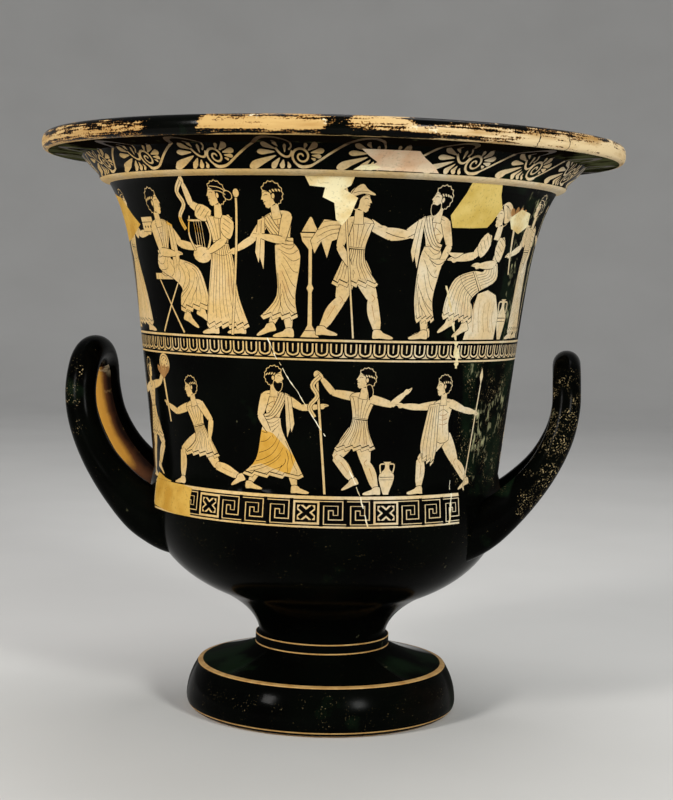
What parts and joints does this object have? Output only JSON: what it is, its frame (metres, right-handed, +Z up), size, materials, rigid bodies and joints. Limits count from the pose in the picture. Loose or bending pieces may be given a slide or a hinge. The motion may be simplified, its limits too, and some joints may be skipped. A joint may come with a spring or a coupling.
{
  "type": "calyx krater",
  "caption": "Painted clay wine-mixing bowl with a flaring lip, straight wall, rounded lower bowl, two upright loop handles, collared stem and disc foot.",
  "frame": {"origin": "on the table plane at the middle of the foot, on the axis of the bowl", "axes": "+Z up along the axis, handles along X, painted front towards -Y"},
  "size_m": [0.486, 0.486, 0.48],
  "materials": {
    "painted_clay": "black gloss slip over fired clay, with reserved clay figures and bands"
  },
  "bodies": {
    "root": {"krater": "painted_clay"}
  },
  "joints": []
}
